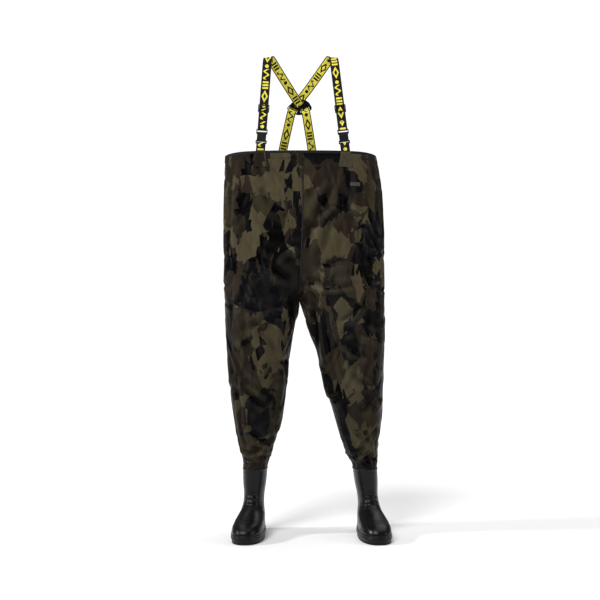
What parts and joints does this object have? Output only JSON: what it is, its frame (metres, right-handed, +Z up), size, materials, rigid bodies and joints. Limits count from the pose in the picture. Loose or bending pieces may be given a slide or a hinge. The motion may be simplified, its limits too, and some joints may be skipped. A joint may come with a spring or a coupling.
{
  "type": "chest waders",
  "caption": "Chest waders with a camouflage fabric body, welded ankle boots, and webbing braces that cross at a back plate and clip on with side-release buckles.",
  "frame": {"origin": "on the floor under the middle of the object's bounding box", "axes": "+Z up, -Y the way the wearer faces, +X towards the wearer's left"},
  "size_m": [0.5854, 0.3385, 1.7032],
  "materials": {
    "camouflage_fabric": "PVC-coated woven polyester, angular dark camouflage, slight sheen",
    "olive_fabric": "coated woven, matt",
    "seam_tape": "welded tape, satin",
    "boot_rubber": "moulded PVC, satin",
    "insole_foam": "felt-faced foam, matt",
    "shank_steel": "spring steel strip",
    "brace_webbing": "woven jacquard webbing, yellow face and black face",
    "buckle_plastic": "moulded acetal, satin",
    "badge_rubber": "soft PVC, blank"
  },
  "bodies": {
    "waders": {"back_centre_seam_tape": "seam_tape", "back_left_panel": "camouflage_fabric", "back_right_panel": "camouflage_fabric", "chest_badge": "badge_rubber", "cross_plate": "buckle_plastic", "front_centre_seam_tape": "seam_tape", "front_left_panel": "camouflage_fabric", "front_right_panel": "camouflage_fabric", "left_back_anchor_patch": "olive_fabric", "left_boot_heel_counter": "boot_rubber", "left_boot_insole": "insole_foam", "left_boot_outsole": "boot_rubber", "left_boot_rand": "boot_rubber", "left_boot_shank": "shank_steel", "left_boot_toe_cap": "boot_rubber", "left_boot_upper": "boot_rubber", "left_brace_strap": "brace_webbing", "left_buckle_socket": "buckle_plastic", "left_front_anchor_patch": "olive_fabric", "left_front_tab": "brace_webbing", "left_inner_leg_seam_tape": "seam_tape", "left_leg_weld_band": "seam_tape", "left_side_seam_tape": "seam_tape", "right_back_anchor_patch": "olive_fabric", "right_boot_heel_counter": "boot_rubber", "right_boot_insole": "insole_foam", "right_boot_outsole": "boot_rubber", "right_boot_rand": "boot_rubber", "right_boot_shank": "shank_steel", "right_boot_toe_cap": "boot_rubber", "right_boot_upper": "boot_rubber", "right_brace_strap": "brace_webbing", "right_buckle_socket": "buckle_plastic", "right_front_anchor_patch": "olive_fabric", "right_front_tab": "brace_webbing", "right_inner_leg_seam_tape": "seam_tape", "right_leg_weld_band": "seam_tape", "right_side_seam_tape": "seam_tape", "top_hem": "camouflage_fabric"},
    "right_buckle_plug": {"right_buckle_plug": "buckle_plastic", "right_strap_loop": "brace_webbing"},
    "right_adjuster": {"right_adjuster": "buckle_plastic"},
    "right_buckle_inner_arm": {"right_buckle_inner_arm": "buckle_plastic"},
    "right_buckle_outer_arm": {"right_buckle_outer_arm": "buckle_plastic"},
    "left_buckle_plug": {"left_buckle_plug": "buckle_plastic", "left_strap_loop": "brace_webbing"},
    "left_adjuster": {"left_adjuster": "buckle_plastic"},
    "left_buckle_outer_arm": {"left_buckle_outer_arm": "buckle_plastic"},
    "left_buckle_inner_arm": {"left_buckle_inner_arm": "buckle_plastic"}
  },
  "joints": [
    {"name": "right_buckle_release", "type": "slide", "parent": "waders", "child": "right_buckle_plug", "axis": [0.0651, 0.2119, 0.9751], "range_m": [0, 0.035], "deforming": ["right_strap_loop", "right_buckle_outer_arm", "right_buckle_inner_arm"]},
    {"name": "right_adjuster_slide", "type": "slide", "parent": "right_buckle_plug", "child": "right_adjuster", "axis": [0.0651, 0.2119, 0.9751], "range_m": [-0.045, 0.112], "deforming": ["right_strap_loop"]},
    {"name": "right_buckle_inner_arm_squeeze", "type": "hinge", "parent": "right_buckle_plug", "child": "right_buckle_inner_arm", "pos_m": [-0.15079, -0.04956, 1.41214], "axis": [0, 0.9772, -0.2124], "range_deg": [0, 9], "stiffness_Nm_per_rad": 1.2},
    {"name": "right_buckle_outer_arm_squeeze", "type": "hinge", "parent": "right_buckle_plug", "child": "right_buckle_outer_arm", "pos_m": [-0.17454, -0.04923, 1.41365], "axis": [0, -0.9772, 0.2124], "range_deg": [0, 9], "stiffness_Nm_per_rad": 1.2},
    {"name": "left_buckle_release", "type": "slide", "parent": "waders", "child": "left_buckle_plug", "axis": [-0.1103, 0.2027, 0.973], "range_m": [0, 0.035], "deforming": ["left_strap_loop", "left_buckle_outer_arm", "left_buckle_inner_arm"]},
    {"name": "left_adjuster_slide", "type": "slide", "parent": "left_buckle_plug", "child": "left_adjuster", "axis": [-0.1103, 0.2027, 0.973], "range_m": [-0.045, 0.112], "deforming": ["left_strap_loop"]},
    {"name": "left_buckle_outer_arm_squeeze", "type": "hinge", "parent": "left_buckle_plug", "child": "left_buckle_outer_arm", "pos_m": [0.13476, -0.04684, 1.41406], "axis": [0, 0.979, -0.204], "range_deg": [0, 9], "stiffness_Nm_per_rad": 1.2},
    {"name": "left_buckle_inner_arm_squeeze", "type": "hinge", "parent": "left_buckle_plug", "child": "left_buckle_inner_arm", "pos_m": [0.1111, -0.04738, 1.41149], "axis": [0, -0.979, 0.204], "range_deg": [0, 9], "stiffness_Nm_per_rad": 1.2}
  ]
}
